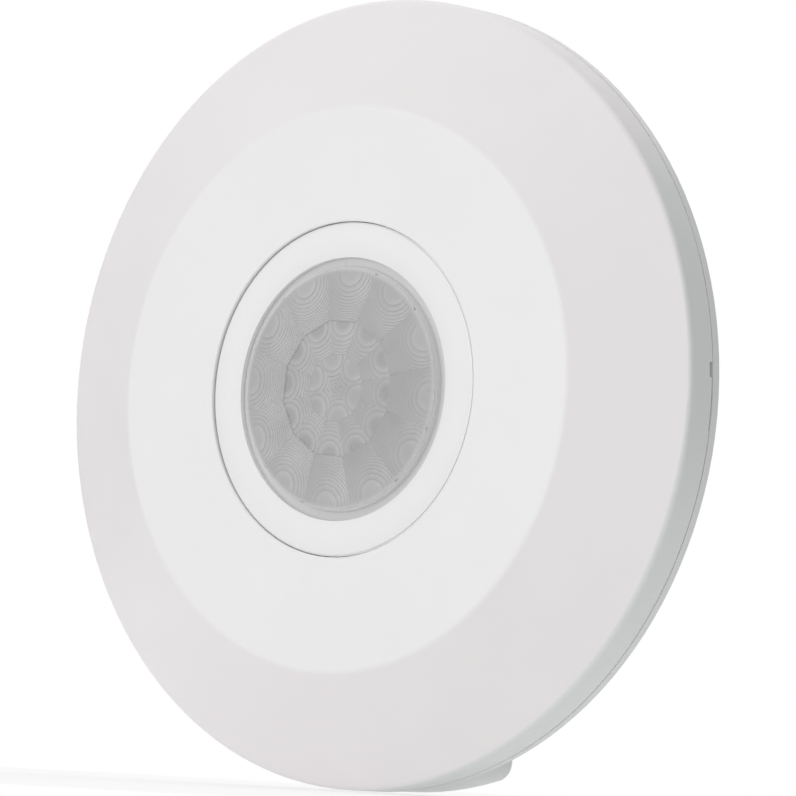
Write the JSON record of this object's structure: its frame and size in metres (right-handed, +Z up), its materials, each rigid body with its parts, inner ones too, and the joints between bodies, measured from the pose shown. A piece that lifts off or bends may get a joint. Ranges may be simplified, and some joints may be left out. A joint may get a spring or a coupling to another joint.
{
  "type": "motion sensor",
  "caption": "Round flat white passive-infrared motion sensor for a wall or ceiling, with a faceted central lens, push-on front cover, setting knobs and a rear cable lobe.",
  "frame": {"origin": "centre of the flat mounting face that lies on the wall or ceiling", "axes": "-Y out of the lens, +Y into the wall, +Z up with the cable lobe at the bottom, +X right seen from the front"},
  "size_m": [0.12, 0.0246, 0.12],
  "materials": {
    "base_plastic": "fine-grained white moulding",
    "grommet_rubber": "soft light-grey rubber",
    "housing_plastic": "fine-grained white moulding",
    "housing_screw_steel": "zinc-plated",
    "cover_plastic": "smooth satin white",
    "bezel_plastic": "smooth satin white",
    "lens_plastic": "milky translucent, moulded rings",
    "board_laminate": "green solder mask",
    "board_screw_steel": "zinc-plated",
    "spacer_plastic": "black nylon",
    "sensor_can": "nickel-plated can",
    "filter_silicon": "dark coated silicon",
    "photocell_ceramic": "lacquered ceramic disc",
    "led_epoxy": "tinted clear epoxy",
    "sensitivity_trimmer_body": "blue-black resin",
    "lux_trimmer_body": "blue-black resin",
    "time_trimmer_body": "blue-black resin",
    "sensitivity_knob_nylon": "grey nylon",
    "lux_knob_nylon": "grey nylon",
    "time_knob_nylon": "grey nylon",
    "relay_case": "blue moulded case",
    "film_capacitor_case": "yellow moulded box",
    "filter_capacitor_can": "dark sleeve on an aluminium can",
    "small_capacitor_cans": "dark sleeve on aluminium cans",
    "varistor_coating": "blue epoxy coating",
    "fuse_cap": "brown moulded cap",
    "resistor_body": "grey-blue lacquer",
    "diode_bodies": "black epoxy",
    "chip_package": "black moulded package",
    "driver_package": "black moulded package",
    "regulator_package": "black moulded package",
    "chip_resistor_bodies": "black glazed chips",
    "chip_capacitor_bodies": "tan ceramic chips",
    "terminal_plastic": "green moulding",
    "clamp_steel": "tin-plated",
    "terminal_screw_steel": "zinc-plated"
  },
  "bodies": {
    "base": {"rear_base": "base_plastic", "cable_grommet": "grommet_rubber", "inner_housing": "housing_plastic", "housing_screws": "housing_screw_steel", "lens_bezel": "bezel_plastic", "fresnel_lens": "lens_plastic", "main_board": "board_laminate", "board_screws": "board_screw_steel", "sensor_spacer": "spacer_plastic", "pir_sensor": "sensor_can", "sensor_window": "filter_silicon", "photocell": "photocell_ceramic", "indicator_led": "led_epoxy", "sensitivity_trimmer": "sensitivity_trimmer_body", "lux_trimmer": "lux_trimmer_body", "time_trimmer": "time_trimmer_body", "relay": "relay_case", "film_capacitor": "film_capacitor_case", "filter_capacitor": "filter_capacitor_can", "small_capacitors": "small_capacitor_cans", "varistor": "varistor_coating", "fuse": "fuse_cap", "series_resistor": "resistor_body", "rectifier_diodes": "diode_bodies", "control_chip": "chip_package", "driver_transistor": "driver_package", "voltage_regulator": "regulator_package", "chip_resistors": "chip_resistor_bodies", "chip_capacitors": "chip_capacitor_bodies", "terminal_block": "terminal_plastic", "terminal_clamps": "clamp_steel", "terminal_screws": "terminal_screw_steel"},
    "cover": {"front_cover": "cover_plastic"},
    "sensitivity_dial": {"sensitivity_knob": "sensitivity_knob_nylon"},
    "lux_dial": {"lux_knob": "lux_knob_nylon"},
    "time_dial": {"time_knob": "time_knob_nylon"}
  },
  "joints": [
    {"name": "cover_pull", "type": "slide", "parent": "base", "child": "cover", "axis": [0, -1, 0], "range_m": [0, 0.035]},
    {"name": "sensitivity_turn", "type": "hinge", "parent": "base", "child": "sensitivity_dial", "pos_m": [-0.0165, -0.0195, 0.02858], "axis": [0, 1, 0], "range_deg": [-135, 135]},
    {"name": "lux_turn", "type": "hinge", "parent": "base", "child": "lux_dial", "pos_m": [0, -0.0195, 0.033], "axis": [0, 1, 0], "range_deg": [-135, 135]},
    {"name": "time_turn", "type": "hinge", "parent": "base", "child": "time_dial", "pos_m": [0.0165, -0.0195, 0.02858], "axis": [0, 1, 0], "range_deg": [-135, 135]}
  ]
}
